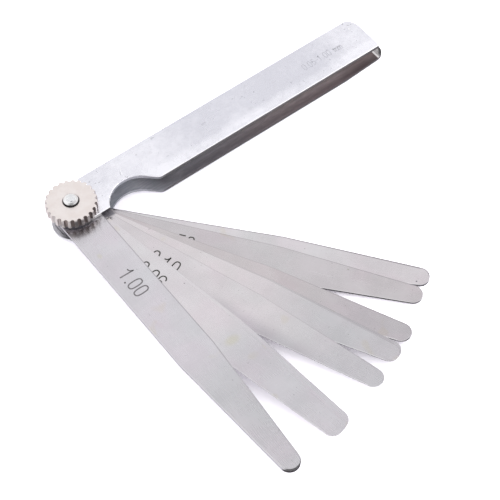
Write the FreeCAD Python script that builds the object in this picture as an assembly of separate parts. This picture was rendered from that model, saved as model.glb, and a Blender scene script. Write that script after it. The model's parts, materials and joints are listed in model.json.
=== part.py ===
"""Feeler gauge, 14 blades of 100 mm, in a folded steel case with a thumb nut.

Frame: the origin is the centre of the flat outer face of the case's folded
spine. +Y points out of that face, +X runs along the case away from the pivot,
and +Z is the pivot axis' direction, from the screw head to the thumb nut.
The pieces are drawn about the pivot, with z = 0 on the outer face of the
bottom cheek, and are moved to that frame as they are written. The blades are
fanned out: each one lies at its own angle about the pivot, turned clockwise
from the case seen from above. All dimensions are in mm.
"""
import FreeCAD, Part
import math
import os

V = FreeCAD.Vector

# ---------------------------------------------------------------- dimensions
# case: one sheet folded into a U, cheeks flat, spine along +Y
SHEET = 1.0             # sheet thickness
CASE_H = 7.0            # outside height over both cheeks
NEAR_R = 6.1            # rounded near end, about the pivot
Y_OPEN = -NEAR_R        # free edge of the top cheek, blade side
Y_OPEN_BOT = -6.4       # free edge of the bottom cheek, beyond the notch
Y_SPINE = 7.6           # outer face of the spine
BEND_R = 1.3            # outer bend radius
WEB_X0 = 6.5            # spine starts here
WEB_X1 = 96.0           # spine ends here
SPINE_END_RIM = 0.25    # height of the fold left inside each cheek beyond WEB_X1
TOP_X1 = 100.3          # far end of the top cheek
BOT_X1 = 103.3          # far end of the bottom cheek, a little longer
TOP_FAR_R = 4.5         # spine-side corner of the top cheek
BOT_FAR_R = 7.5         # spine-side corner of the bottom cheek
TRIM_OVER = 0.15        # the corner arcs meet the spine at a small angle
TOP_LIP_R = 0.5         # open-side corner of the top cheek
BOT_LIP_R = 3.2         # open-side corner of the bottom cheek
BOT_LEAD_X = 88.0       # beyond this the bottom cheek's free edge runs inwards
BOT_LEAD_SLOPE = 0.0545 # by this much per mm
FOLD_X0 = 6.0           # nearer the pivot than this the cheeks have no fold
EDGE_R = 0.18           # broken edges of the cheeks

# finger notch in the open edge of both cheeks: an arc, then a straight flank
NOTCH_R = 8.11
NOTCH_C = V(15.53, -9.11)
NOTCH_FLANK = 44.0      # deg, slope of the flank
LIP_CORNER_R = 2.2      # soft corner where the flank meets the open edge

# pivot screw, M4
SHANK_D = 4.0
PIVOT_PLAY = 0.12       # a bore's diameter over the shank's
HEAD_D = 9.0
HEAD_H = 1.4
HEAD_C = 0.3            # chamfer round the head
SLOT_W = 1.1
SLOT_DEPTH = 0.75
SLOT_ANGLE = 27         # deg, from the case
SCREW_PROUD = 0.95      # stands proud of the nut
SCREW_C = 0.45          # chamfer at the end
DIMPLE_R = 0.95         # shallow turned hollow in the end
DIMPLE_DEPTH = 0.12

# thumb nut
NUT_D = 13.9
NUT_H = 3.0
NUT_TEETH = 24
GROOVE_R = 0.52         # round groove between two teeth
GROOVE_PITCH_R = 6.86   # groove centres lie on this radius
NUT_C = 0.22            # chamfer at the rims
NUT_BORE_D = SHANK_D + PIVOT_PLAY
NUT_SINK_D = 4.6        # countersink at both faces

# blades
BLADE_W = 10.6          # width
BLADE_TAPER_X = 55.7    # the taper starts here
BLADE_TIP_R = 2.7       # full round tip
BLADE_CORNER_R = 9.0    # soft corner where the taper starts
PIVOT_HOLE_D = SHANK_D + PIVOT_PLAY     # hole in the blades and cheeks

# name, thickness, angle from the case (deg, negative is clockwise from above)
# and length from pivot to tip, from the bottom of the stack to the top
BLADES = [
    ("blade_0_75", 0.75, -49.25, 95.4),
    ("blade_0_50", 0.50, -53.08, 94.7),
    ("blade_0_40", 0.40, -60.57, 95.3),
    ("blade_0_30", 0.30, -60.78, 95.2),
    ("blade_0_25", 0.25, -64.55, 95.0),
    ("blade_0_20", 0.20, -64.85, 95.0),
    ("blade_0_15", 0.15, -65.15, 95.0),
    ("blade_0_10", 0.10, -70.42, 95.1),
    ("blade_0_09", 0.09, -79.65, 95.1),
    ("blade_0_08", 0.08, -80.15, 95.3),
    ("blade_0_07", 0.07, -80.65, 95.4),
    ("blade_0_06", 0.06, -81.12, 95.5),
    ("blade_0_05", 0.05, -89.65, 95.4),
    ("blade_1_00", 1.00, -89.95, 95.8),
]
# the room left between the cheeks is shared evenly by all gaps in the stack
STACK = sum(thickness for _, thickness, _, _ in BLADES)
GAP = (CASE_H - 2 * SHEET - STACK) / (len(BLADES) + 1)

# centre of the spine's outer face, seen from the pivot: the part's origin
ORIGIN = V((WEB_X0 + WEB_X1) / 2, Y_SPINE, CASE_H / 2)


# ------------------------------------------------------------------- helpers
def box(x0, x1, y0, y1, z0, z1):
    return Part.makeBox(x1 - x0, y1 - y0, z1 - z0, V(x0, y0, z0))


def prism(pieces, z0, z1):
    """Extrude a closed outline from z0 to z1.

    Each piece is an arc (start, middle, end) or a lone corner (point,).
    Straight lines join each piece to the next and the last to the first.
    """
    edges = []
    for i, piece in enumerate(pieces):
        if len(piece) == 3:
            edges.append(Part.Arc(*piece).toShape())
        following = pieces[(i + 1) % len(pieces)]
        edges.append(Part.makeLine(piece[-1], following[0]))
    face = Part.Face(Part.Wire(Part.__sortEdges__(edges)))
    face.translate(V(0, 0, z0))
    return face.extrude(V(0, 0, z1 - z0))


def corner_arc(before, corner, after, radius):
    """Arc that rounds the corner between the lines to before and after."""
    back = (before - corner).normalize()
    ahead = (after - corner).normalize()
    half = back.getAngle(ahead) / 2
    bisector = (back + ahead).normalize()
    reach = radius / math.tan(half)
    centre = corner + bisector * (radius / math.sin(half))
    return corner + back * reach, centre - bisector * radius, corner + ahead * reach


def quarter_arc(x, y, radius, side):
    """Quarter circle about (x, y), from its +Y (side 1) or -Y (side -1) point to +X."""
    diagonal = radius * math.sqrt(0.5)
    return (V(x, y + side * radius),
            V(x + diagonal, y + side * diagonal),
            V(x + radius, y))


def revolve(points):
    """Solid of revolution about Z from (radius, z) points."""
    profile = [V(radius, 0, z) for radius, z in points]
    profile.append(profile[0])
    return Part.Face(Part.makePolygon(profile)).revolve(V(0, 0, 0), V(0, 0, 1), 360)


# ---------------------------------------------------------------------- case
def cheek_outline(x1, far_r, lip_r, y_edge, lead_x=None, slope=0.0):
    """Plan outline of one cheek, clockwise from the near end.

    With lead_x, the open edge runs inwards by slope beyond that x.
    """
    near_end = (V(0, Y_OPEN), V(-NEAR_R, 0), V(0, NEAR_R))

    # hollow step up to the spine, and the far corner on the spine side
    y_out = Y_SPINE + TRIM_OVER     # the trim runs a little past the spine
    step = y_out - NEAR_R
    step_arc = quarter_arc(WEB_X0 - step, y_out, step, -1)
    far_arc = quarter_arc(x1 - far_r, y_out - far_r, far_r, 1)

    # far corner on the open side; on a straight edge, lead is any point of it
    lead = V(lead_x or x1 - 20, y_edge)
    lip_corner = V(x1, y_edge + slope * (x1 - lead.x))
    lip_arc = corner_arc(V(x1, 0), lip_corner, lead, lip_r)
    lead_corner = [(lead,)] if lead_x else []

    # notch, entered from the far side: soft corner, straight flank, arc
    flank = math.radians(NOTCH_FLANK)
    near_x = NOTCH_C.x - math.sqrt(NOTCH_R ** 2 - (Y_OPEN - NOTCH_C.y) ** 2)
    flank_in = NOTCH_C + V(math.sin(flank), math.cos(flank)) * NOTCH_R
    flank_out = V(flank_in.x + (flank_in.y - y_edge) / math.tan(flank), y_edge)
    flank_arc = corner_arc(lead, flank_out, flank_in, LIP_CORNER_R)
    notch_arc = (flank_in, NOTCH_C + V(0, NOTCH_R), V(near_x, Y_OPEN))

    return ([near_end, step_arc, far_arc, lip_arc] + lead_corner
            + [flank_arc, notch_arc])


def bent_block(x0, x1, y0, y1, z0, z1, radius):
    """Box whose two long edges at y1 are rounded."""
    block = box(x0, x1, y0, y1, z0, z1)
    bends = [edge for edge in block.Edges
             if abs(edge.CenterOfMass.y - y1) < 1e-6
             and abs(edge.Length - (x1 - x0)) < 1e-6]
    return block.makeFillet(radius, bends)


def cheek_rims(case):
    """Edges in the two outer faces, without the tangent lines of the bends."""
    rims = []
    for edge in case.Edges:
        bounds = edge.BoundBox
        tangent = (edge.CenterOfMass.y > Y_SPINE - BEND_R - 0.05
                   and edge.Length > 60)
        for z in (0.0, CASE_H):
            flat = abs(bounds.ZMin - z) < 1e-6 and abs(bounds.ZMax - z) < 1e-6
            if flat and not tangent:
                rims.append(edge)
    return rims


def make_case():
    # U channel, longer and wider than both cheeks
    outer = bent_block(-NEAR_R - 2, BOT_X1 + 2, Y_OPEN_BOT - 1, Y_SPINE,
                       0, CASE_H, BEND_R)
    inner = bent_block(-NEAR_R - 4, BOT_X1 + 4, Y_OPEN_BOT - 4, Y_SPINE - SHEET,
                       SHEET, CASE_H - SHEET, BEND_R - SHEET)
    channel = outer.cut(inner)

    # each half is trimmed to its own cheek's outline
    mid = CASE_H / 2
    top_outline = cheek_outline(TOP_X1, TOP_FAR_R, TOP_LIP_R, Y_OPEN)
    bottom_outline = cheek_outline(BOT_X1, BOT_FAR_R, BOT_LIP_R, Y_OPEN_BOT,
                                   BOT_LEAD_X, BOT_LEAD_SLOPE)
    top = channel.common(prism(top_outline, mid, CASE_H + 1))
    bottom = channel.common(prism(bottom_outline, -1, mid))
    case = top.fuse(bottom).removeSplitter()

    # the spine stops short of the far end
    rim = SHEET + SPINE_END_RIM
    case = case.cut(box(WEB_X1, WEB_X1 + 20, 3, 9, rim, CASE_H - rim))
    # near the pivot the cheeks are flat inside, so the blades can swing past
    case = case.cut(box(-NEAR_R - 4, FOLD_X0, 4, 8, SHEET, CASE_H - SHEET))
    # pivot holes
    case = case.cut(Part.makeCylinder(PIVOT_HOLE_D / 2, CASE_H + 2, V(0, 0, -1)))
    return case.makeFillet(EDGE_R, cheek_rims(case))


# -------------------------------------------------------------------- blades
def blade_outline(length):
    half_w = BLADE_W / 2
    tip_x = length - BLADE_TIP_R
    # the taper runs from its corner tangent to the tip round
    run = tip_x - BLADE_TAPER_X
    taper = math.atan2(half_w, run) - math.asin(BLADE_TIP_R / math.hypot(run, half_w))
    tangent_x = tip_x + BLADE_TIP_R * math.sin(taper)
    tangent_y = BLADE_TIP_R * math.cos(taper)

    near_end = (V(0, half_w), V(-half_w, 0), V(0, -half_w))
    tip = (V(tangent_x, -tangent_y), V(length, 0), V(tangent_x, tangent_y))
    taper_arc = corner_arc(V(0, -half_w), V(BLADE_TAPER_X, -half_w), tip[0],
                           BLADE_CORNER_R)
    mirrored_arc = [V(point.x, -point.y) for point in reversed(taper_arc)]
    return [near_end, taper_arc, tip, mirrored_arc]


def make_blade(thickness, z0, angle, length):
    blade = prism(blade_outline(length), z0, z0 + thickness)
    blade = blade.cut(Part.makeCylinder(PIVOT_HOLE_D / 2, thickness + 1,
                                        V(0, 0, z0 - 0.5)))
    blade.rotate(V(0, 0, 0), V(0, 0, 1), angle)
    return blade


# --------------------------------------------------------------- pivot parts
def make_screw():
    shank_r = SHANK_D / 2
    head_r = HEAD_D / 2
    end_z = CASE_H + NUT_H + SCREW_PROUD
    screw = revolve([
        (0, -HEAD_H), (head_r - HEAD_C, -HEAD_H),
        (head_r, -HEAD_H + HEAD_C), (head_r, 0), (shank_r, 0),
        (shank_r, end_z - SCREW_C), (shank_r - SCREW_C, end_z),
        (0, end_z)])
    slot = box(-head_r - 1, head_r + 1, -SLOT_W / 2, SLOT_W / 2,
               -HEAD_H - 1, -HEAD_H + SLOT_DEPTH)
    slot.rotate(V(0, 0, 0), V(0, 0, 1), SLOT_ANGLE)
    screw = screw.cut(slot)
    # shallow hollow left by turning
    ball_r = (DIMPLE_R ** 2 + DIMPLE_DEPTH ** 2) / (2 * DIMPLE_DEPTH)
    ball = Part.makeSphere(ball_r, V(0, 0, end_z + ball_r - DIMPLE_DEPTH))
    return screw.cut(ball)


def make_nut():
    z0 = CASE_H
    z1 = z0 + NUT_H
    rim_r = NUT_D / 2
    bore_r = NUT_BORE_D / 2
    sink_r = NUT_SINK_D / 2
    sink = sink_r - bore_r
    nut = revolve([
        (bore_r, z0 + sink), (sink_r, z0), (rim_r - NUT_C, z0), (rim_r, z0 + NUT_C),
        (rim_r, z1 - NUT_C), (rim_r - NUT_C, z1), (sink_r, z1), (bore_r, z1 - sink)])
    grooves = []
    for i in range(NUT_TEETH):
        angle = 2 * math.pi * i / NUT_TEETH
        foot = V(GROOVE_PITCH_R * math.cos(angle),
                 GROOVE_PITCH_R * math.sin(angle), z0 - 1)
        grooves.append(Part.makeCylinder(GROOVE_R, NUT_H + 2, foot))
    return nut.cut(grooves[0].multiFuse(grooves[1:]))


# --------------------------------------------------------------------- build
def write_piece(name, shape):
    """Move the piece to the part's origin and write it as one solid."""
    if len(shape.Solids) != 1 or not shape.isValid():
        raise RuntimeError("%s is not one valid solid" % name)
    solid = shape.Solids[0].copy()
    solid.translate(-ORIGIN)
    solid.exportStep("parts/%s.step" % name)


def main():
    os.makedirs("parts", exist_ok=True)
    write_piece("case", make_case())
    write_piece("pivot_screw", make_screw())
    write_piece("thumb_nut", make_nut())
    z = SHEET + GAP
    for name, thickness, angle, length in BLADES:
        write_piece(name, make_blade(thickness, z, angle, length))
        z += thickness + GAP


main()
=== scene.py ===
"""A feeler gauge with its blades fanned out of a folded steel case, on a paper floor.

Places in the looks are in mm from the pivot, on the outer face of the bottom cheek.
The case lies along +x with its open side towards -y, and +z is up. Each blade's own
x runs from the pivot to its tip. The near end is the pivot end.
"""
import json
import math

import bpy
import bmesh
from mathutils import Matrix, Vector

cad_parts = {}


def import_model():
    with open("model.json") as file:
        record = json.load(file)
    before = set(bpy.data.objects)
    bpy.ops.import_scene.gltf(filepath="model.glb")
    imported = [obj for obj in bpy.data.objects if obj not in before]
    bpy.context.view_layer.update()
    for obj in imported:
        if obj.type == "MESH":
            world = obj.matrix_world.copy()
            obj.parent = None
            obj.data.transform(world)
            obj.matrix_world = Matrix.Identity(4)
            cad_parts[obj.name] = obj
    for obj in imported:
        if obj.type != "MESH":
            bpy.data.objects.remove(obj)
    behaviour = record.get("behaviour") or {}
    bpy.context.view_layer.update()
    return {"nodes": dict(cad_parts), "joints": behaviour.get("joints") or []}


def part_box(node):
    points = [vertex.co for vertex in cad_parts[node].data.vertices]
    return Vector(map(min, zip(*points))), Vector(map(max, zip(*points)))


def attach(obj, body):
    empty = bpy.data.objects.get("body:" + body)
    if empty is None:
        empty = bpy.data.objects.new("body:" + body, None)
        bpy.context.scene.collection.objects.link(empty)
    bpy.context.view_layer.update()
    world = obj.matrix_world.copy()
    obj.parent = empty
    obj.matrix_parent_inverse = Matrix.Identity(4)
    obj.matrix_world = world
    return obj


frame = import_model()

MM = 0.001
scene = bpy.context.scene
NODES = frame["nodes"]

# rest angle of every blade in degrees, from its own joint's upper limit
BLADES = {joint["child"]: -joint["range_deg"][1] for joint in frame["joints"]
          if joint["child"].startswith("blade_")}
PIVOT = Vector(next((joint["pos_m"] for joint in frame["joints"]
                     if joint["name"] == "blade_1_00_pivot"), (0.0, 0.0, 0.0)))

# pivot to tip of each blade, and its top face above the pivot point, in mm
REACH = {name: max(math.hypot(v.co.x - PIVOT.x, v.co.y - PIVOT.y)
                   for v in NODES[name].data.vertices) / MM for name in BLADES}
TOP = {name: (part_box(name)[1].z - PIVOT.z) / MM for name in BLADES}


def add_object(name, data):
    ob = bpy.data.objects.new(name, data)
    scene.collection.objects.link(ob)
    return ob


# --------------------------------------------------------------- shader helpers
class Tree:
    """Short way to write a shader tree."""

    def __init__(self, owner):
        """Empty the tree of a material or a world and take it over."""
        owner.use_nodes = True
        self.tree = owner.node_tree
        self.tree.nodes.clear()
        self.x = 0

    def node(self, kind, **props):
        n = self.tree.nodes.new(kind)
        n.location = (self.x, 0)
        self.x += 40
        for key, value in props.items():
            setattr(n, key, value)
        return n

    def put(self, socket, value):
        """Link a socket into an input, or set the input to a plain value."""
        if isinstance(value, bpy.types.NodeSocket):
            self.tree.links.new(value, socket)
            return
        if socket.type == "RGBA" and len(value) == 3:
            value = (*value, 1.0)
        socket.default_value = value

    def math(self, operation, *values, clamp=False):
        n = self.node("ShaderNodeMath", operation=operation, use_clamp=clamp)
        for socket, value in zip(n.inputs, values):
            self.put(socket, value)
        return n.outputs[0]

    def mul(self, first, *others):
        for value in others:
            first = self.math("MULTIPLY", first, value)
        return first

    def add(self, first, *others, clamp=False):
        """Sum; clamp limits only the last addition."""
        for i, value in enumerate(others, 1):
            first = self.math("ADD", first, value, clamp=clamp and i == len(others))
        return first

    def sub(self, a, b):
        return self.math("SUBTRACT", a, b)

    def abs(self, value):
        return self.math("ABSOLUTE", value)

    def hypot(self, a, b):
        return self.math("SQRT", self.add(self.mul(a, a), self.mul(b, b)))

    def vmath(self, operation, *values):
        n = self.node("ShaderNodeVectorMath", operation=operation)
        for socket, value in zip(n.inputs, values):
            self.put(socket, value)
        return n.outputs["Value" if operation in ("DOT_PRODUCT", "LENGTH") else 0]

    def mix(self, factor, a, b, blend="MIX"):
        n = self.node("ShaderNodeMix", data_type="RGBA", blend_type=blend)
        self.put(n.inputs[0], factor)
        self.put(n.inputs[6], a)
        self.put(n.inputs[7], b)
        return n.outputs[2]

    def times(self, a, b):
        return self.mix(1.0, a, b, "MULTIPLY")

    def tint(self, factor, base, color):
        """Multiply base by a colour where factor is 1."""
        return self.mix(factor, base, self.times(base, color))

    def mixf(self, factor, a, b):
        n = self.node("ShaderNodeMix", data_type="FLOAT")
        self.put(n.inputs[0], factor)
        self.put(n.inputs[2], a)
        self.put(n.inputs[3], b)
        return n.outputs[0]

    def mix_shader(self, factor, a, b):
        n = self.node("ShaderNodeMixShader")
        for socket, value in zip(n.inputs, (factor, a, b)):
            self.put(socket, value)
        return n.outputs[0]

    def noise(self, vec, scale, detail=2.0, rough=0.5, distort=0.0):
        n = self.node("ShaderNodeTexNoise", noise_dimensions="3D")
        self.put(n.inputs["Vector"], vec)
        n.inputs["Scale"].default_value = scale
        n.inputs["Detail"].default_value = detail
        n.inputs["Roughness"].default_value = rough
        n.inputs["Distortion"].default_value = distort
        return n.outputs["Fac"]

    def ramp(self, value, start, end, low=0.0, high=1.0, kind="SMOOTHSTEP"):
        """low at start, high at end; start may lie above end."""
        n = self.node("ShaderNodeMapRange", interpolation_type=kind)
        for socket, v in zip(n.inputs, (value, start, end, low, high)):
            self.put(socket, v)
        return n.outputs[0]

    def band(self, value, *spans):
        """Product of ramps over the (start, end) spans of one value."""
        return self.mul(*[self.ramp(value, *span) for span in spans])

    def spread(self, noise, low, high, start=0.3, end=0.7):
        """Straight ramp over the range a noise mostly covers."""
        return self.ramp(noise, start, end, low, high, "LINEAR")

    def mapping(self, vec, loc=(0, 0, 0), rot=(0, 0, 0), scale=(1, 1, 1)):
        n = self.node("ShaderNodeMapping", vector_type="POINT")
        for socket, value in zip(n.inputs, (vec, loc, rot, scale)):
            self.put(socket, value)
        return n.outputs[0]

    def split(self, vec):
        n = self.node("ShaderNodeSeparateXYZ")
        self.put(n.inputs[0], vec)
        return n.outputs[0], n.outputs[1], n.outputs[2]

    def distance(self, p, x, y):
        """Distance from the upright line through (x, y)."""
        return self.vmath("LENGTH", self.vmath(
            "SUBTRACT", self.mapping(p, scale=(1, 1, 0)), (x, y, 0.0)))

    def bearing(self, p, direction):
        """1 where the way out from the pivot axis points along direction."""
        outward = self.vmath("NORMALIZE", self.mapping(p, scale=(1, 1, 0)))
        return self.vmath("DOT_PRODUCT", outward, direction)

    def spot(self, vec, cx, cy, rx, ry, deg, solid=0.5):
        """A small turned ellipse: 0 at its rim, 1 inside the solid share of its radius."""
        v = self.vmath("SUBTRACT", vec, (cx, cy, 0.0))
        v = self.mapping(v, rot=(0, 0, math.radians(-deg)))
        v = self.mapping(v, scale=(1.0 / rx, 1.0 / ry, 0.0))
        return self.ramp(self.vmath("LENGTH", v), 1.0, solid)

    def dab(self, base, vec, *mark):
        """Lay one spot (cx, cy, rx, ry, deg, amount, colour) over base."""
        amount, color = mark[5:]
        return self.mix(self.mul(self.spot(vec, *mark[:5]), amount), base, color)

    def scratches(self, vec, angle, density, seed, width):
        """Thin broken lines lying near one direction: 0 nearly everywhere, 1 on a line."""
        m = self.mapping(vec, loc=(seed * 3.7, seed * 1.9, seed), rot=(0, 0, angle))
        lines = self.noise(self.mapping(m, scale=(0.035, 1.9, 0.0)), scale=density,
                           detail=2.0, rough=0.6, distort=0.15)
        breaks = self.noise(self.mapping(m, scale=(0.12, 0.35, 0.0)), scale=1.0, detail=1.0)
        off_line = self.abs(self.sub(lines, 0.5))
        line = self.ramp(off_line, 0.0, width * 0.12, low=1.0, high=0.0)
        return self.mul(line, self.ramp(breaks, 0.52, 0.62))


def material(name):
    mat = bpy.data.materials.new(name)
    t = Tree(mat)
    output = t.node("ShaderNodeOutputMaterial")
    bsdf = t.node("ShaderNodeBsdfPrincipled")
    t.put(output.inputs[0], bsdf.outputs[0])
    return mat, t, bsdf


def object_mm(t, angle_deg=0.0):
    """Object coordinates in mm from the pivot, turned about z by angle_deg."""
    coords = t.node("ShaderNodeTexCoord")
    v = t.vmath("SUBTRACT", coords.outputs["Object"], tuple(PIVOT))
    return t.mapping(v, rot=(0, 0, math.radians(angle_deg)), scale=(1000, 1000, 1000))


def normal_z(t):
    """z of the normal in the object's own axes."""
    geometry = t.node("ShaderNodeNewGeometry")
    n = t.node("ShaderNodeVectorTransform", vector_type="NORMAL",
               convert_from="WORLD", convert_to="OBJECT")
    t.put(n.inputs[0], geometry.outputs["True Normal"])
    return t.split(n.outputs[0])[2]


def finish_surface(t, bsdf, color, metallic, rough, height, strength, depth=0.02, bevel=None):
    """Fill the shader; bump depth and bevel radius are in mm."""
    t.put(bsdf.inputs["Base Color"], color)
    t.put(bsdf.inputs["Metallic"], metallic)
    t.put(bsdf.inputs["Roughness"], rough)
    bump = t.node("ShaderNodeBump")
    bump.inputs["Strength"].default_value = strength
    bump.inputs["Distance"].default_value = depth * MM
    t.put(bump.inputs["Height"], height)
    if bevel:
        rounded = t.node("ShaderNodeBevel", samples=4)
        rounded.inputs["Radius"].default_value = bevel * MM
        t.put(bump.inputs["Normal"], rounded.outputs[0])
    t.put(bsdf.inputs["Normal"], bump.outputs[0])


# ---------------------------------------------------------------------- camera
# above the open side of the case, through a long lens
ELEVATION, AZIMUTH, ROLL = 55.56, -35.51, 1.96    # degrees
DISTANCE, RIGHT, DOWN = 418.6, 46.5, 8.9          # from the pivot, mm
LENS, SENSOR = 112.68, 36.0                       # mm

# turns the view's frame into the world's: the camera stands towards the view's -y
TURN = Matrix.Rotation(math.radians(AZIMUTH), 3, "Z")


def camera():
    elevation, roll = math.radians(ELEVATION), math.radians(ROLL)
    right = Vector((1, 0, 0))
    up = Vector((0, math.sin(elevation), math.cos(elevation)))
    forward = Vector((0, math.cos(elevation), -math.sin(elevation)))
    position = right * RIGHT + up * -DOWN + forward * -DISTANCE
    camera_x = right * math.cos(roll) - up * math.sin(roll)
    camera_y = right * math.sin(roll) + up * math.cos(roll)
    rotation = Matrix((camera_x, camera_y, -forward)).transposed()
    data = bpy.data.cameras.new("camera")
    data.sensor_width = SENSOR
    data.lens = LENS
    data.clip_start, data.clip_end = 0.01, 20.0
    ob = add_object("camera", data)
    ob.matrix_world = (Matrix.Translation(PIVOT + TURN @ position * MM)
                       @ (TURN @ rotation).to_4x4())
    scene.camera = ob


camera()

# level directions towards the camera, where the cut edges get painted shade
DARK_SIDE = tuple(TURN @ Vector((0.10, -0.995, 0.0)))
DARK_END = (-0.45, -0.89, 0.0)

# ------------------------------------------------------------------------ case
DARK, HIGHLIGHT_MARK = (0.30, 0.30, 0.34), (0.99, 0.99, 1.0)
# knocks on the top cheek drawn in colour only, as dark marks and painted highlights: centre
# x, y, half sizes, turn in degrees, amount, colour
CASE_MARKS = [
    (16.35, 1.45, 0.95, 0.13, 62, 0.45, DARK), (17.2, 2.5, 0.90, 0.10, 58, 0.80, HIGHLIGHT_MARK),
    (16.75, 1.2, 0.70, 0.10, 62, 0.80, HIGHLIGHT_MARK), (17.1, -0.75, 0.40, 0.24, 10, 0.55, DARK),
    (15.4, -0.75, 0.90, 0.12, 8, 0.30, DARK), (10.2, 2.4, 0.34, 0.26, 0, 0.32, DARK),
    (23.3, 4.0, 0.40, 0.30, 20, 0.28, DARK), (15.3, 6.7, 0.45, 0.16, 0, 0.35, DARK),
    (96.9, 6.5, 0.42, 0.18, 35, 0.50, DARK), (97.9, 5.2, 0.60, 0.22, -35, 0.40, DARK),
    (98.7, 5.0, 0.35, 0.18, 20, 0.40, DARK), (97.3, 4.0, 0.60, 0.30, 60, 0.60, HIGHLIGHT_MARK),
    (44.0, 1.5, 1.20, 0.50, 15, 0.16, DARK), (62.0, -2.0, 0.50, 0.35, 0, 0.20, DARK),
]
# scratch families: direction in radians, density, seed, line width
CASE_SCRATCHES = [(0.15, 1.3, 3.0, 0.10), (1.05, 1.1, 8.0, 0.09),
                  (-0.75, 1.0, 13.0, 0.09), (2.3, 1.0, 21.0, 0.08)]
NOTCH_SPANS = (26.6, 23.0), (7.6, 8.6)     # fades along x at the notch's two ends
NOTCH_ARC = (15.53, -9.11)                 # centre the light in the notch falls off from
PAST_SPINE = (100.6, 100.9)                # x where the spine ends
CHEEK_FACE = (1.4, 1.2)                    # z fade onto the inside of the lower cheek


def case_plating(t, p, x, y, cloud):
    """Cloudy plating, with a painted sheen lighter towards the two ends and towards the open
    edge.
    """
    mottle = t.noise(p, scale=0.50, detail=4.0, rough=0.65)
    fine = t.noise(p, scale=2.6, detail=3.0, rough=0.65)
    # painted sheen towards both ends and the open edge, mixed with the plating's cloudy tone
    sheen_at_ends = t.add(t.ramp(x, 43, 20), t.ramp(x, 80, 94))
    edge = t.ramp(y, -1.6, -4.6)
    light = t.add(t.mul(sheen_at_ends, 0.62), t.mul(edge, 0.62), clamp=True)
    light = t.add(light, t.spread(cloud, -0.20, 0.20), t.spread(mottle, -0.22, 0.22),
                  t.spread(fine, -0.10, 0.10), clamp=True)
    return t.mix(light, (0.705, 0.703, 0.770), (0.930, 0.925, 0.985))


def case_arris_highlight(t, x, y, nz):
    """Sloping faces round both cheeks: a painted highlight, weaker beside the notch."""
    arris_highlight = t.mul(t.band(nz, (0.12, 0.35), (0.995, 0.93)), t.ramp(y, 5.3, 5.0))
    dull = t.band(x, (13.0, 15.0), (23.5, 21.5))
    return t.mul(arris_highlight, t.sub(1.0, t.mul(dull, 0.8)))


def inside_fold_shade(t, p, x, z, notch):
    """Inside of the fold in painted shade, browner far away, with painted light from the
    notch.
    """
    inner = t.mix(t.ramp(x, 30, 80), (0.132, 0.128, 0.142), (0.189, 0.160, 0.165))
    inner = t.mix(notch, inner, t.mix(t.ramp(x, 14.0, 22.0), (0.212, 0.220, 0.255),
                                      (0.265, 0.268, 0.300)))
    # the painted light falls off evenly behind the notch, and its far corner stays in painted
    # shade
    away = t.distance(p, *NOTCH_ARC)
    behind = t.mul(notch, t.ramp(z, *CHEEK_FACE))
    inner = t.tint(t.mul(behind, t.ramp(away, 9.4, 11.6)), inner, (1.30, 1.30, 1.30))
    inner = t.tint(t.mul(notch, t.ramp(away, 9.4, 8.2)), inner, (0.80, 0.80, 0.80))
    inner = t.tint(t.mul(notch, t.ramp(x, 18.5, 23.5)), inner, (0.60, 0.60, 0.61))
    corner = t.band(x, (22, 25), (31, 27))
    inner = t.mix(t.mul(corner, 0.35), inner, (0.050, 0.052, 0.066))
    # painted light streaks, then painted shade towards the far end
    streak = t.noise(t.mapping(p, rot=(0, 0, 0.5), scale=(0.35, 2.0, 1.0)),
                     scale=1.0, detail=3.0, rough=0.6)
    inner = t.tint(t.ramp(streak, 0.40, 0.70), inner, (1.30, 1.28, 1.26))
    return t.tint(t.ramp(x, 86, 100, kind="LINEAR"), inner, (0.28, 0.22, 0.22))


def inside_far_end(t, inner, p, x, y):
    """Past the end of the spine: a grey patch of painted light, a painted reflection line and
    a dark rim of painted shade.
    """
    inner = t.mix(t.ramp(x, *PAST_SPINE), inner, (0.190, 0.180, 0.182))
    grain = t.noise(t.mapping(p, rot=(0, 0, -0.9), scale=(0.6, 3.0, 1.0)),
                    scale=1.6, detail=2.0, rough=0.6)
    inner = t.mix(t.mul(t.ramp(grain, 0.42, 0.62), t.ramp(x, *PAST_SPINE)),
                  inner, (0.125, 0.120, 0.123))
    line = t.band(x, (100.30, 100.55), (101.05, 100.75))
    inner = t.mix(t.mul(line, t.ramp(y, 2.5, -3.5, low=0.35, high=0.85)), inner,
                  (0.42, 0.41, 0.41))
    # the painted shade rim follows the rounded corner on the -y side, then the end itself
    corner = t.mul(t.ramp(t.distance(p, 100.1, -2.2), 2.40, 2.75),
                   t.ramp(x, 101.0, 101.9), t.ramp(y, -2.0, -2.4))
    rim = t.math("MAXIMUM", corner, t.ramp(x, 102.40, 102.80))
    return t.mix(t.mul(rim, 0.92), inner, (0.010, 0.009, 0.010))


def lower_cheek_edge(t, inner, x, y, z):
    """Painted shade along the free edge of the lower cheek, under a strip of painted light.
    """
    floor = t.mul(t.ramp(z, *CHEEK_FACE), t.ramp(x, 25.0, 34.0), t.ramp(x, 100.6, 99.8))
    inner = t.tint(t.mul(floor, t.ramp(y, -4.6, -3.6)), inner, (1.22, 1.22, 1.22))
    lip = t.mix(t.ramp(x, 60.0, 90.0), (0.54, 0.52, 0.54), (0.44, 0.40, 0.42))
    return t.tint(t.mul(floor, t.ramp(y, -3.6, -5.8)), inner, lip)


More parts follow.
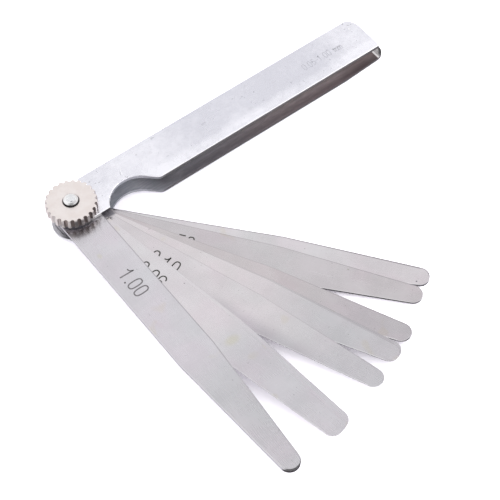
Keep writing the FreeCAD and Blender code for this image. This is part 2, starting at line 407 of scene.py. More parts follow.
def case_near_end(t, inner, p, x, z):
    """Cut edge between the notch and the nut, then round the near end."""
    # beside the nut: painted shade, with painted light from the blades under it
    mouth = t.mix(t.ramp(x, 4.9, 5.3), (0.300, 0.290, 0.295), (0.022, 0.021, 0.026))
    mouth = t.mix(t.ramp(x, 3.4, 1.6), mouth, (0.080, 0.075, 0.078))
    inner = t.mix(t.ramp(x, 8.3, 7.9), inner, mouth)
    # painted shade towards the camera, with painted light on the lower cheek
    turn = t.bearing(p, DARK_END)
    near = t.mix(t.ramp(turn, 0.62, 0.96), (0.270, 0.266, 0.285), (0.060, 0.058, 0.066))
    near = t.mix(t.mul(t.ramp(z, 0.95, 0.65), t.ramp(turn, 0.99, 0.93)), near,
                 (0.420, 0.418, 0.435))
    return t.mix(t.ramp(x, 0.2, -0.6), inner, near)


def case_material():
    mat, t, bsdf = material("case_plated_steel")
    p = object_mm(t)
    x, y, z = t.split(p)
    nz = normal_z(t)
    cloud = t.noise(p, scale=0.060, detail=3.0, rough=0.55)
    base = case_plating(t, p, x, y, cloud)
    # dull grey wear in patches, scratches and small nicks
    wear = t.ramp(t.noise(t.mapping(p, loc=(31, 7, 0)), scale=0.28, detail=4.0, rough=0.7),
                  0.56, 0.70)
    base = t.mix(t.mul(wear, 0.30), base, (0.600, 0.590, 0.640))
    lines = [t.scratches(p, *family) for family in CASE_SCRATCHES]
    scratched = t.add(t.add(*lines[:2]), t.add(*lines[2:]), clamp=True)
    base = t.mix(t.mul(scratched, 0.34), base, (0.46, 0.46, 0.50))
    pits = t.ramp(t.noise(p, scale=0.9, detail=1.0), 0.72, 0.75)
    base = t.mix(t.mul(pits, 0.40), base, (0.38, 0.38, 0.43))
    # painted highlight on the sloping faces round the cheeks
    arris_highlight = case_arris_highlight(t, x, y, nz)
    base = t.mix(arris_highlight, base, (0.97, 0.97, 0.99))
    for *ellipse, amount, color in CASE_MARKS:
        mark = t.mul(t.spot(p, *ellipse), t.ramp(z, 6.6, 6.8), amount)
        base = t.mix(mark, base, color)
    # inside of the fold, between the cheeks and the spine, and the upright cut edges take the
    # painted shade and light of the inside
    inside = t.mul(t.band(z, (0.93, 0.99), (6.07, 6.01)), t.ramp(y, 6.28, 6.22))
    sheared = t.mul(t.ramp(t.abs(nz), 0.30, 0.10), t.ramp(y, 6.9, 6.5))
    notch = t.band(x, *NOTCH_SPANS)
    inner = inside_fold_shade(t, p, x, z, notch)
    inner = inside_far_end(t, inner, p, x, y)
    inner = lower_cheek_edge(t, inner, x, y, z)
    inner = case_near_end(t, inner, p, x, z)
    mask = t.math("MAXIMUM", inside, sheared)
    base = t.mix(mask, base, inner)
    # cut edges beyond the notch get painted shade, almost black
    edge_shade = t.mul(sheared, t.sub(1.0, notch), t.ramp(x, 8.4, 9.0), 0.85)
    base = t.mix(edge_shade, base, (0.024, 0.022, 0.025))
    metallic = t.mixf(mask, t.mixf(arris_highlight, 1.0, 0.8), 0.15)
    rough = t.add(t.spread(cloud, 0.20, 0.32), t.mul(scratched, 0.15), t.mul(wear, 0.10))
    rough = t.mixf(mask, rough, 0.42)
    # relief: rolling grain, scratches, slow waves and nicks
    grain = t.noise(t.mapping(p, scale=(0.7, 2.5, 1.0)), scale=4.0, detail=3.0, rough=0.6)
    wave = t.noise(p, scale=0.16, detail=1.0)
    height = t.sub(t.mul(grain, 0.10), t.mul(scratched, 0.30))
    height = t.sub(t.add(height, t.mul(wave, 1.6)), t.mul(pits, 0.8))
    finish_surface(t, bsdf, base, metallic, rough, height, strength=0.55)
    return mat


# ---------------------------------------------------------------------- blades
# colour near the pivot, colour far from it, x where the change starts and ends (the blades'
# differing lightness and the fall along them are painted shade), strength of the painted
# shade line along the +y edge and of the painted highlight along the -y edge
BLADE_LOOK = {
    "blade_1_00": ((0.636, 0.617, 0.655), (0.545, 0.530, 0.560), 54, 70, 0.60, 0.30),
    "blade_0_05": ((0.672, 0.648, 0.674), (0.590, 0.575, 0.610), 50, 64, 0.2, 0.2),
    "blade_0_06": ((0.682, 0.650, 0.678), (0.582, 0.563, 0.598), 50, 66, 0.05, 0.2),
    "blade_0_07": ((0.682, 0.650, 0.678), (0.582, 0.563, 0.598), 50, 66, 0.0, 0.0),
    "blade_0_08": ((0.680, 0.648, 0.676), (0.580, 0.561, 0.596), 50, 66, 0.0, 0.0),
    "blade_0_09": ((0.680, 0.648, 0.676), (0.580, 0.561, 0.596), 50, 66, 0.15, 0.1),
    "blade_0_10": ((0.655, 0.620, 0.645), (0.534, 0.520, 0.550), 58, 88, 0.30, 0.3),
    "blade_0_15": ((0.686, 0.647, 0.668), (0.533, 0.517, 0.545), 45, 80, 0.3, 0.3),
    "blade_0_20": ((0.665, 0.626, 0.645), (0.530, 0.512, 0.540), 45, 80, 0.3, 0.3),
    "blade_0_25": ((0.665, 0.626, 0.645), (0.530, 0.512, 0.540), 45, 80, 0.3, 0.4),
    "blade_0_30": ((0.574, 0.533, 0.550), (0.492, 0.468, 0.492), 55, 85, 0.3, 0.4),
    "blade_0_40": ((0.588, 0.547, 0.560), (0.496, 0.472, 0.496), 55, 85, 0.3, 0.4),
    "blade_0_50": ((0.568, 0.540, 0.562), (0.535, 0.503, 0.524), 65, 90, 0.45, 0.3),
    "blade_0_75": ((0.650, 0.628, 0.652), (0.618, 0.586, 0.612), 55, 85, 0.85, 0.3),
}
# stains, specks, painted soft shades and a painted sheen of one blade: centre along and
# across, half sizes, turn in degrees, amount, colour factor
BLADE_SPOTS = {
    "blade_1_00": [(16.8, -2.7, 1.3, 0.9, 0, 0.8, (0.98, 0.97, 0.86)),
                   (43.0, -2.5, 2.4, 1.0, 10, 0.6, (1.0, 0.96, 0.97)),
                   (34.0, 1.2, 6.0, 0.5, -6, 0.5, (0.965, 0.965, 0.97))],
    "blade_0_06": [(58.3, 0.7, 1.9, 3.0, -10, 1.0, (0.975, 0.965, 0.85)),
                   (37.5, 4.4, 0.30, 0.22, 0, 0.9, (0.60, 0.59, 0.60))],
    "blade_0_75": [(92.2, -1.75, 0.26, 0.22, 0, 1.0, (0.25, 0.25, 0.27)),
                   (62.0, 2.6, 0.22, 0.15, 0, 0.7, (0.5, 0.5, 0.5))],
    "blade_0_50": [(74.3, 3.0, 0.30, 0.24, 0, 0.8, (0.62, 0.66, 0.55)),
                   (43.0, 0.5, 6.0, 2.0, -5, 0.5, (0.955, 0.955, 0.955))],
    "blade_0_40": [(74.0, -0.6, 2.5, 0.4, 10, 0.5, (1.03, 1.03, 1.03))],
}
# scratch families: direction in radians, density, seed offset, line width
BLADE_SCRATCHES = [(0.03, 1.0, 2.0, 0.09), (0.55, 0.8, 9.0, 0.07), (-1.2, 0.7, 17.0, 0.06)]
# width of the painted shade line along the +y edge where it is wider than usual
DARK_LINE_WIDTH = {"blade_0_75": 0.42, "blade_1_00": 0.34}
# colour of the painted shade on the cut edge, and on the near end's shaded side
THIN_EDGE = (0.120, 0.115, 0.125)
LOW_EDGE = {"blade_0_50": (0.060, 0.056, 0.062), "blade_0_10": THIN_EDGE,
            "blade_0_09": THIN_EDGE, "blade_0_08": THIN_EDGE, "blade_0_07": THIN_EDGE}
NEAR_END = {"blade_0_75": (0.50, 0.49, 0.52), "blade_0_50": (0.30, 0.29, 0.31),
            "blade_1_00": (0.55, 0.53, 0.56)}
# outline: half width, where the taper starts, its slope on each side, tip radius
HALF_WIDTH, TAPER_START, TAPER, TIP_RADIUS = 5.3, 55.7, 0.0745, 2.7


def blade_tone(t, name, x, q, cloud, grind):
    """Ground steel in painted shade that darkens away from the pivot, with soft clouds, a
    faint green or pink cast and oil stains.
    """
    near, far, start, end = BLADE_LOOK[name][:4]
    base = t.mix(t.ramp(x, start, end), near, far)
    cast = t.noise(t.mapping(q, loc=(40, 0, 0)), scale=0.09)
    base = t.tint(t.mul(t.ramp(cast, 0.50, 0.66), 0.30), base, (0.97, 1.03, 1.005))
    base = t.tint(t.mul(t.ramp(cast, 0.50, 0.34), 0.45), base, (1.03, 0.975, 1.005))
    cross = t.noise(t.mapping(q, scale=(1.6, 0.08, 1.0)), scale=1.0, detail=2.0, rough=0.6)
    value = t.add(t.spread(cloud, 0.955, 1.045),
                  t.add(t.spread(grind, -0.020, 0.020, start=0.25, end=0.75),
                        t.spread(cross, -0.010, 0.010)))
    grey = t.node("ShaderNodeCombineXYZ")
    for socket in grey.inputs:
        t.put(socket, value)
    base = t.times(base, grey.outputs[0])
    stain = t.noise(t.mapping(q, loc=(7, 3, 0)), scale=0.16, detail=1.0, rough=0.4)
    return t.tint(t.mul(t.ramp(stain, 0.70, 0.77), 0.40), base, (0.97, 0.94, 0.80))


def blade_spots(t, name, base, p, x, y, q):
    for *ellipse, amount, color in BLADE_SPOTS.get(name, []):
        # large stains and painted shades fade over most of their radius
        solid = 0.25 if ellipse[2] > 1 else 0.6
        base = t.tint(t.mul(t.spot(p, *ellipse, solid), amount), base, color)
    if name == "blade_0_10":
        # painted shade darkens it towards its -y side, as if it curled down a little
        curl_shade = t.mul(t.ramp(y, 0.0, -4.4), t.ramp(x, 36, 50), t.ramp(x, 92, 60))
        base = t.tint(curl_shade, base, (0.78, 0.78, 0.805))
    specks = t.ramp(t.noise(q, scale=1.5, detail=1.0), 0.755, 0.775)
    return t.mix(t.mul(specks, 0.45), base, (0.25, 0.24, 0.25))


def painted_edge_lines(t, name, base, x, y):
    """Fine lines just inside the outline: painted shade on the +y side, painted highlight on
    the -y side.
    """
    shade_strength, highlight_strength = BLADE_LOOK[name][4:]
    # distance in from the outline, along the sides and round the tip
    past_taper = t.math("MAXIMUM", t.sub(x, TAPER_START), 0.0)
    half = t.sub(HALF_WIDTH, t.mul(past_taper, TAPER))
    from_side = t.sub(half, t.abs(y))
    past_centre = t.math("MAXIMUM", t.sub(x, REACH[name] - TIP_RADIUS), 0.0)
    from_tip = t.sub(TIP_RADIUS, t.hypot(past_centre, y))
    at_tip = t.ramp(x, REACH[name] - 3.0, REACH[name] - 2.4)
    inward = t.mixf(at_tip, from_side, from_tip)
    beyond_pivot = t.ramp(x, 0.0, 6.0)
    dark = t.mul(t.ramp(inward, DARK_LINE_WIDTH.get(name, 0.20), 0.05), t.ramp(y, 0.0, 0.8))
    if name == "blade_1_00":
        dark = t.mul(dark, t.ramp(x, 68, 58, low=0.25, high=1.0))
    dark = t.mul(dark, beyond_pivot, shade_strength)
    base = t.mix(dark, base, (0.24, 0.22, 0.24))
    bright = t.mul(t.ramp(inward, 0.22, 0.08), t.ramp(y, 0.0, -0.8), beyond_pivot,
                   highlight_strength)
    return t.mix(bright, base, (0.90, 0.89, 0.91))


def blade_cut_edge(t, name, x, y, z):
    """Colour of the cut edge, with painted shade where it faces the camera."""
    geometry = t.node("ShaderNodeNewGeometry")
    facing = t.vmath("DOT_PRODUCT", geometry.outputs["True Normal"], DARK_SIDE)
    dark = t.ramp(facing, 0.60, 0.80)
    if name == "blade_1_00":
        # the tip gets painted shade too, up to a little on the +y side
        tip = t.mul(t.ramp(y, 1.7, 1.3), t.ramp(x, REACH[name] - 1.5, REACH[name] - 0.8))
        dark = t.math("MAXIMUM", dark, tip)
    low = LOW_EDGE.get(name, (0.030, 0.027, 0.030))
    if name == "blade_0_75":
        # only its upper part gets less painted shade
        low = t.mix(t.ramp(z, TOP[name] - 0.42, TOP[name] - 0.36), low, (0.26, 0.25, 0.27))
    return t.mix(dark, (0.60, 0.58, 0.62), low)


def blade_near_end(t, name, p0, x0, z, z0):
    """Colour round the near end, with painted shade towards the camera."""
    turn = t.bearing(p0, DARK_END)
    color = t.mix(t.ramp(turn, 0.60, 0.93), (0.66, 0.65, 0.68),
                  NEAR_END.get(name, (0.085, 0.080, 0.088)))
    # dark line under the top face
    color = t.mix(t.ramp(z, TOP[name] - 0.10, TOP[name] - 0.04), color, (0.10, 0.095, 0.10))
    # dark lines that run slantwise round the stacked ends: two lines and the last rim
    slant = t.add(x0, t.mul(z0, 0.385))
    slant_lines = t.mul(t.ramp(t.abs(t.add(slant, 4.42)), 0.24, 0.08), 0.85)
    slant_lines = t.math("MAXIMUM", slant_lines, t.mul(t.ramp(t.abs(t.add(slant, 3.96)), 0.12, 0.04), 0.45))
    slant_lines = t.math("MAXIMUM", slant_lines, t.mul(t.ramp(slant, -4.86, -5.02), 0.50))
    return t.mix(slant_lines, color, (0.030, 0.028, 0.032))


def painted_tip_shade(t, name, base, p, x):
    """A dark crescent of painted shade on the tip's top face."""
    from_centre = t.distance(p, REACH[name] - TIP_RADIUS - 0.46, 0.26)
    roll = t.mul(t.ramp(from_centre, 2.66, 2.80),
                 t.ramp(x, REACH[name] - 1.9, REACH[name] - 1.1), 0.85)
    return t.mix(roll, base, (0.055, 0.052, 0.056))


def nut_reflection_and_shade(t, base, p, x, y, q, side):
    """Painted reflection of the knurled rim, in streaks, and painted shade beside the nut."""
    away = t.distance(p, 2.2, 1.1)
    waver = t.spread(t.noise(q, scale=0.9, detail=2.0, rough=0.6), -0.60, 0.60)
    slant = t.add(y, t.mul(x, 0.45), waver)
    teeth = t.math("SINE", t.mul(slant, 3.45))
    ragged = t.add(away, t.mul(teeth, 0.45))
    # painted reflection streaks, weaker close to the nut, stronger towards +y
    painted_reflection = t.mul(t.ramp(ragged, 8.1, 4.9), t.add(0.34, t.mul(teeth, -0.15)),
                 t.ramp(away, 3.6, 6.4, low=0.15, high=1.0),
                 t.ramp(y, -3.0, 0.6, low=0.20, high=1.25))
    return t.mix(t.mul(painted_reflection, t.sub(1.0, side)), base, (0.120, 0.108, 0.112))


def blade_material(name, angle, seed):
    mat, t, bsdf = material(name + "_ground_steel")
    # p runs along the blade, q is p moved by the seed, p0 stays in the case's axes
    p = object_mm(t, -angle)
    x, y, z = t.split(p)
    q = t.mapping(p, loc=(seed * 11.3, seed * 5.1, seed * 2.0))
    p0 = object_mm(t)
    x0, y0, z0 = t.split(p0)
    side = t.ramp(t.abs(normal_z(t)), 0.75, 0.55)
    cloud = t.noise(q, scale=0.11, detail=3.0, rough=0.55)
    # fine grinding along the blade
    grind = t.noise(t.mapping(q, scale=(0.10, 1.9, 1.0)), scale=2.2, detail=4.0, rough=0.75,
                    distort=0.25)
    base = blade_tone(t, name, x, q, cloud, grind)
    base = blade_spots(t, name, base, p, x, y, q)
    first, second, third = [t.scratches(q, turn, density, seed + offset, width)
                            for turn, density, offset, width in BLADE_SCRATCHES]
    scratched = t.add(first, t.add(second, third), clamp=True)
    base = t.mix(t.mul(scratched, 0.16), base, (0.93, 0.92, 0.95))
    base = painted_edge_lines(t, name, base, x, y)
    edge = t.mix(t.ramp(x, 4.0, 1.0), blade_cut_edge(t, name, x, y, z),
                 blade_near_end(t, name, p0, x0, z, z0))
    if name == "blade_1_00":
        base = painted_tip_shade(t, name, base, p, x)
    base = t.mix(side, base, edge)
    # where the blades enter the case they get painted shade and are made dull
    entry_shade = t.mul(t.band(x0, (4.6, 5.2), (10.2, 8.6)), t.ramp(y0, -7.4, -6.5))
    base = t.mix(t.mul(entry_shade, 0.95), base, (0.062, 0.059, 0.070))
    if name == "blade_1_00":
        base = nut_reflection_and_shade(t, base, p, x, y, q, side)
    rough = t.add(t.spread(cloud, 0.22, 0.31), t.spread(grind, -0.03, 0.03))
    bsdf.inputs["Anisotropic"].default_value = 0.25
    # relief: grinding, scratches and slow waves
    height = t.add(t.mul(grind, 0.16), t.mul(scratched, -0.25),
                   t.mul(t.noise(q, scale=0.08, detail=1.0), 1.2))
    finish_surface(t, bsdf, base, t.mixf(entry_shade, 1.0, 0.08), t.mixf(side, rough, 0.45),
                   height, strength=0.30)
    return mat


# --------------------------------------------------------------- nut and screw
def nut_material():
    mat, t, bsdf = material("nut_matt_nickel")
    p = object_mm(t)
    x, y, _ = t.split(p)
    radius = t.hypot(x, y)
    side = t.ramp(t.abs(normal_z(t)), 0.45, 0.2)
    cloud = t.noise(p, scale=0.35, detail=3.0, rough=0.6)
    grain = t.noise(p, scale=9.0, detail=2.0, rough=0.6)
    base = t.mix(t.ramp(cloud, 0.35, 0.65), (0.795, 0.728, 0.708), (0.842, 0.788, 0.772))
    specks = t.ramp(t.noise(p, scale=2.4, detail=2.0, rough=0.6), 0.70, 0.76)
    base = t.mix(t.mul(specks, 0.22), base, (0.55, 0.49, 0.46))
    # painted shade on the rim towards -y, and grime with painted shade in its grooves
    groove_grime_and_shade = t.mul(side, t.ramp(radius, 6.86, 6.50))
    shaded = t.ramp(t.bearing(p, (-0.08, -0.997, 0.0)), 0.44, 0.62)
    base = t.mix(t.mul(side, shaded), base,
                 t.mix(t.ramp(cloud, 0.40, 0.60), (0.38, 0.35, 0.34), (0.62, 0.58, 0.56)))
    base = t.mix(groove_grime_and_shade, base, t.mix(shaded, (0.62, 0.58, 0.57), (0.300, 0.250, 0.235)))
    # faint turning rings and a matt grain
    ring = t.math("SINE", t.mul(radius, 42.0))
    height = t.add(t.mul(grain, 0.8), t.mul(ring, 0.08))
    finish_surface(t, bsdf, base, 1.0, t.spread(cloud, 0.34, 0.46), height,
                   strength=0.35, bevel=0.10)
    return mat


def screw_material():
    mat, t, bsdf = material("screw_bright_zinc")
    p = object_mm(t)
    x, y, z = t.split(p)
    radius = t.hypot(x, y)
    cloud = t.noise(p, scale=1.1, detail=3.0, rough=0.6)
    swirl = t.noise(t.mapping(p, scale=(1, 1, 0)), scale=1.6, detail=2.0, rough=0.6,
                    distort=1.6)
    end = t.ramp(z, 6.5, 7.0)
    base = t.mix(t.ramp(cloud, 0.38, 0.62), (0.66, 0.67, 0.70), (0.90, 0.90, 0.91))
    # end face: swirled middle with one dark spot, a rim with a painted highlight, lighter
    # towards -x, two more spots
    face = t.mix(t.ramp(swirl, 0.40, 0.60), (0.74, 0.75, 0.77), (0.86, 0.86, 0.88))
    face = t.dab(face, p, -0.45, -1.05, 0.55, 0.30, 20, 0.75, (0.28, 0.28, 0.30))
    rim = t.mix(t.ramp(x, 0.9, -1.0), (0.80, 0.79, 0.79), (0.95, 0.95, 0.95))
    face = t.mix(t.ramp(radius, 1.15, 1.45), face, rim)
    face = t.dab(face, p, 0.15, -1.50, 1.00, 0.42, 6, 0.55, (0.52, 0.50, 0.52))
    face = t.dab(face, p, 0.35, 1.75, 0.75, 0.30, -8, 0.75, (0.42, 0.41, 0.42))
    base = t.mix(end, base, face)
    # a ring of painted shade round the edge of the end face
    edge_ring_shade = t.mul(t.ramp(radius, 1.94, 1.99), end, 0.9)
    base = t.mix(edge_ring_shade, base, (0.10, 0.095, 0.10))
    # relief: grain, turning rings and the swirl
    ring = t.math("SINE", t.mul(radius, 30.0))
    grain = t.noise(p, scale=6.0, detail=2.0, rough=0.6)
    height = t.add(t.mul(grain, 0.5), t.mul(ring, 0.18), t.mul(swirl, 1.2))
    finish_surface(t, bsdf, base, 1.0, t.spread(cloud, 0.20, 0.36), height,
                   strength=0.5, depth=0.03, bevel=0.08)
    return mat


def marking_material(name, dark, light, rough=0.5):
    mat, t, bsdf = material(name)
    blotch = t.noise(object_mm(t), scale=3.5, detail=3.0, rough=0.65)
    finish_surface(t, bsdf, t.mix(t.ramp(blotch, 0.35, 0.70), dark, light), 1.0,
                   t.spread(blotch, rough, rough + 0.12), blotch, strength=0.2, depth=0.01)
    return mat


looks = {"case": case_material(), "thumb_nut": nut_material(),
         "pivot_screw": screw_material()}
for i, (name, angle) in enumerate(sorted(BLADES.items())):
    looks[name] = blade_material(name, angle, seed=i * 1.7 + 1.0)
for name, ob in NODES.items():
    ob.data.materials.clear()
    ob.data.materials.append(looks[name])
ink = marking_material("marking_black", (0.070, 0.069, 0.066), (0.140, 0.138, 0.132))
worn = marking_material("marking_worn", (0.190, 0.178, 0.190), (0.300, 0.285, 0.300))
faint = marking_material("marking_faint", (0.50, 0.50, 0.55), (0.62, 0.62, 0.67), rough=0.42)

# -------------------------------------------------------------------- numbers
# figures are drawn as strokes of one width, as an engraving needle leaves them;
# every figure stands in its own cell, in mm, with the stroke's middle line given
TALL, HALF = 4.0, 0.90
CELL, DOT_CELL = 2.65, 1.15
CELL_WIDTHS = {".": DOT_CELL, "m": CELL * 1.12, "-": CELL * 0.7, " ": CELL * 0.7}
DOT_X, DOT_Y, DOT_RADIUS, DOT_SIDES = 0.02, 0.10, 0.28, 12


def bow(cx, cy, rx, ry, a0, a1, n=16, power=1.0):
    """Points of an elliptical arc, angles in degrees; power below 1 squares it."""
    points = []
    for i in range(n + 1):
        a = math.radians(a0 + (a1 - a0) * i / n)
        c, s = math.cos(a), math.sin(a)
        points.append((cx + rx * math.copysign(abs(c) ** power, c),
                       cy + ry * math.copysign(abs(s) ** power, s)))
    return points


def m_arch(x):
    """One arch of the letter m, from x to the foot on its right."""
    return [(x, 1.9)] + bow(x + 0.575, 1.9, 0.57, 0.70, 180, 0, 8)


# strokes of each figure: (points, closed)
FIGURES = {
    "0": [(bow(0, TALL / 2, HALF, TALL / 2, 0, 360, 40, 0.72)[:-1], True)],
    "1": [([(-0.06, 0.0), (0.08, TALL)], False),
          ([(-1.05, 2.92), (-0.60, 2.97), (-0.22, 3.28), (0.05, 3.75)], False)],
    "2": [(bow(0, 2.95, 0.88, 1.05, 165, -30) + [(-HALF, 0), (HALF, 0)], False)],
    "3": [(bow(-0.05, 3.04, 0.86, 0.96, 155, -90), False),
          (bow(-0.05, 1.04, 0.94, 1.04, 90, -155), False)],
    "4": [([(0.35, TALL), (-0.95, 1.2), (0.95, 1.2)], False),
          ([(0.40, 2.3), (0.40, 0.0)], False)],
    "5": [([(0.80, TALL), (-0.68, TALL), (-0.80, 2.15)], False),
          (bow(-0.05, 1.25, 0.95, 1.25, 143, -150), False)],
    "6": [(bow(0, 2.95, HALF, 1.05, 12, 180) + [(-HALF, 1.6)], False),
          (bow(0, 1.12, HALF, 1.12, 0, 360, 30)[:-1], True)],
    "7": [([(-HALF, TALL), (HALF, TALL), (-0.25, 0.0)], False)],
    "8": [(bow(0, 3.06, 0.76, 0.94, 0, 360, 28)[:-1], True),
          (bow(0, 1.06, 0.92, 1.06, 0, 360, 28)[:-1], True)],
    "-": [([(-0.55, 1.9), (0.55, 1.9)], False)],
    "m": [([(-1.15, 0.0), (-1.15, 2.6)], False),
          ([(-1.15, 1.9)] + bow(-0.58, 1.9, 0.57, 0.70, 180, 0, 8) + [(0.0, 0.0)], False),
          ([(0.0, 1.9)] + bow(0.58, 1.9, 0.57, 0.70, 180, 0, 8) + [(1.15, 0.0)], False)],
}
del m_arch
# the nine is the six turned half round
FIGURES["9"] = [([(-x, TALL - y) for x, y in points], closed)
                for points, closed in FIGURES["6"]]


def ribbon(bm, points, closed, wide):
    """A closed flat bar of one width that follows a line of points, z from -1 to 1."""
    n = len(points)
    rows = []
    for i, (x, y) in enumerate(points):
        if closed:
            before, after = points[i - 1], points[(i + 1) % n]
        else:
            before, after = points[max(i - 1, 0)], points[min(i + 1, n - 1)]
        d0 = Vector((x - before[0], y - before[1]))
        d1 = Vector((after[0] - x, after[1] - y))
        d0 = d0.normalized() if d0.length > 1e-9 else d1.normalized()
        d1 = d1.normalized() if d1.length > 1e-9 else d0
        d = (d0 + d1).normalized()
        # wider at a bend, so the bar keeps its width on both sides of it
        half = wide / 2 / max(0.6, math.sqrt(max(0.0, (1 + d0.dot(d1)) / 2)))
        # open ends run on a little
        extend = 0.0
        if not closed and i == 0:
            extend = -wide * 0.35
        if not closed and i == n - 1:
            extend = wide * 0.35
        px, py = x + d.x * extend, y + d.y * extend
        left = (px - d.y * half, py + d.x * half)
        right = (px + d.y * half, py - d.x * half)
        rows.append([bm.verts.new((*left, 1.0)), bm.verts.new((*right, 1.0)),
                     bm.verts.new((*right, -1.0)), bm.verts.new((*left, -1.0))])
    for i in range(n if closed else n - 1):
        a, b = rows[i], rows[(i + 1) % n]
        for j in range(4):
            bm.faces.new((a[j], b[j], b[(j + 1) % 4], a[(j + 1) % 4]))
    if not closed:
        bm.faces.new(rows[0])
        bm.faces.new(list(reversed(rows[-1])))


def dot(bm, x):
    """A short upright prism for the decimal point, z from -1 to 1."""
    ring = [(x + DOT_X + DOT_RADIUS * math.cos(2 * math.pi * k / DOT_SIDES),
             DOT_Y + DOT_RADIUS * math.sin(2 * math.pi * k / DOT_SIDES))
            for k in range(DOT_SIDES)]
    top = [bm.verts.new((*point, 1.0)) for point in ring]
    bottom = [bm.verts.new((*point, -1.0)) for point in ring]
    bm.faces.new(top)
    bm.faces.new(list(reversed(bottom)))
    for k in range(DOT_SIDES):
        after = (k + 1) % DOT_SIDES
        bm.faces.new((top[k], bottom[k], bottom[after], top[after]))


def text_mesh(name, text, scale, stroke, proud, sink):
    """Closed mesh of a line of figures, centred on the origin, in metres."""
    cells = [CELL_WIDTHS.get(c, CELL) for c in text]
    x = -(sum(cells) - cells[0] / 2 - cells[-1] / 2) / 2
    bm = bmesh.new()
    for i, c in enumerate(text):
        if i:
            x += (cells[i - 1] + cells[i]) / 2
        if c == ".":
            dot(bm, x)
        for points, closed in FIGURES.get(c, []):
            ribbon(bm, [(x + px, py) for px, py in points], closed, stroke / scale)
    bmesh.ops.recalc_face_normals(bm, faces=bm.faces)
    me = bpy.data.meshes.new(name)
    bm.to_mesh(me)
    bm.free()
    for v in me.vertices:
        v.co.x *= scale * MM
        v.co.y = (v.co.y - TALL / 2) * scale * MM
        v.co.z = (proud if v.co.z > 0 else -sink) * MM
    return me


def place_text(name, body, text, mat, angle, along, across,
               scale=1.0, stroke=0.37, proud=0.012, sink=0.005):
    """Lay figures on the top face of a body, placed in mm along and across it."""
    me = text_mesh(name, text, scale, stroke, proud, sink)
    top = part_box(body)[1].z / MM
    turn = Matrix.Translation((PIVOT.x, PIVOT.y, 0.0)) @ \
        Matrix.Rotation(math.radians(angle), 4, "Z")
    me.transform(turn @ Matrix.Translation(Vector((along * MM, across * MM, top * MM))))
    me.materials.append(mat)
    ob = add_object(name, me)
    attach(ob, body)


# middle of the number from the pivot, and how far it sits off the middle line
NUMBER_PLACES = {"blade_1_00": (28.85, -0.27), "blade_0_06": (29.35, 0.50),
                 "blade_0_10": (29.35, 0.27), "blade_0_50": (29.0, 0.08)}
for name, angle in BLADES.items():
    size = name[len("blade_"):]
    along, across = NUMBER_PLACES.get(name, (29.2, 0.0))
    place_text("number_" + size, name, size.replace("_", "."),
               worn if name == "blade_1_00" else ink, angle, along, across)

place_text("case_range_mark", "case", "0.05-1.00 mm", faint, angle=0.0, along=84.6,
           across=0.5, scale=0.50, stroke=0.22, proud=0.008, sink=0.01)

# ----------------------------------------------------------------------- floor
# height under the pivot in mm, and the floor's slopes along x and y
FLOOR_Z, SLOPE_X, SLOPE_Y = -1.53, 0.013552, -0.02402
FLOOR_HALF, FLOOR_CELLS = 1.6, 8     # half side in metres, cells per side


def floor_material():
    mat = bpy.data.materials.new("paper_floor")
    t = Tree(mat)
    output = t.node("ShaderNodeOutputMaterial")
    paper = t.node("ShaderNodeBsdfDiffuse")
    coords = t.node("ShaderNodeTexCoord")
    blotch = t.noise(coords.outputs["Object"], scale=30.0)
    t.put(paper.inputs[0], t.mix(blotch, (0.775, 0.755, 0.800), (0.785, 0.765, 0.810)))
    # its own mirror image in the steel is kept from burning out
    glow = t.node("ShaderNodeEmission")
    t.put(glow.inputs[0], (0.920, 0.905, 0.940))
    rays = t.node("ShaderNodeLightPath")
    front = t.mix_shader(rays.outputs["Is Glossy Ray"], paper.outputs[0], glow.outputs[0])
    # clear from below
    clear = t.node("ShaderNodeBsdfTransparent")
    geometry = t.node("ShaderNodeNewGeometry")
    t.put(output.inputs[0],
          t.mix_shader(geometry.outputs["Backfacing"], front, clear.outputs[0]))
    return mat


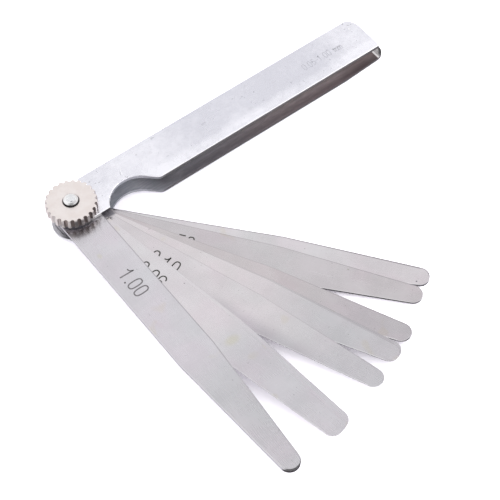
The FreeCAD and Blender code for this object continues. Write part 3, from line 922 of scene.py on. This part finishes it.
def floor():
    me = bpy.data.meshes.new("floor")
    bm = bmesh.new()
    n = FLOOR_CELLS
    stations = [FLOOR_HALF * (2 * i / n - 1) for i in range(n + 1)]
    grid = [[bm.verts.new(PIVOT + Vector((x, y, FLOOR_Z * MM + SLOPE_X * x + SLOPE_Y * y)))
             for y in stations] for x in stations]
    for i in range(n):
        for j in range(n):
            bm.faces.new((grid[i][j], grid[i + 1][j], grid[i + 1][j + 1], grid[i][j + 1]))
    bm.to_mesh(me)
    bm.free()
    ob = add_object("floor", me)
    me.materials.append(floor_material())


floor()


# ---------------------------------------------------------------------- lights
def world():
    studio = bpy.data.worlds.new("studio")
    scene.world = studio
    t = Tree(studio)
    output = t.node("ShaderNodeOutputWorld")
    background = t.node("ShaderNodeBackground")
    coords = t.node("ShaderNodeTexCoord")
    direction = t.vmath("NORMALIZE", coords.outputs["Generated"])
    # a darker patch behind the camera, seen only in reflections
    back = TURN @ Vector((0.0, -0.60, 0.80)).normalized()
    patch = t.ramp(t.vmath("DOT_PRODUCT", direction, tuple(back)), 0.78, 0.93)
    rays = t.node("ShaderNodeLightPath")
    patch = t.mul(patch, rays.outputs["Is Glossy Ray"], 0.85)
    z = t.split(direction)[2]
    sky = t.mix(t.ramp(z, -0.1, 0.9), (1.03, 1.02, 1.04), (1.0, 1.0, 1.0))
    t.put(background.inputs[0], t.mix(patch, sky, (0.06, 0.06, 0.065)))
    # the paper is lit harder than the steel's mirror image of the studio
    t.put(background.inputs[1], t.mixf(rays.outputs["Is Diffuse Ray"], 1.0, 3.0))
    t.put(output.inputs[0], background.outputs[0])


def key_light(position, target, size, watts, color):
    """A disk light; places are in metres from the pivot, in the view's frame."""
    data = bpy.data.lights.new("key", "AREA")
    data.shape = "DISK"
    data.size = size
    data.energy = watts
    data.color = color
    ob = add_object("key", data)
    start = PIVOT + TURN @ Vector(position)
    end = PIVOT + TURN @ Vector(target)
    ob.location = start
    ob.rotation_mode = "QUATERNION"
    ob.rotation_quaternion = (end - start).to_track_quat("-Z", "Y")


world()
key_light(position=(0.55, 0.35, 0.75), target=(0.04, 0.0, 0.0), size=0.35, watts=1.1,
          color=(1.0, 1.0, 0.99))

scene.view_settings.view_transform = "Standard"
scene.view_settings.look = "None"
scene.view_settings.exposure = 0.0
scene.view_settings.gamma = 1.0
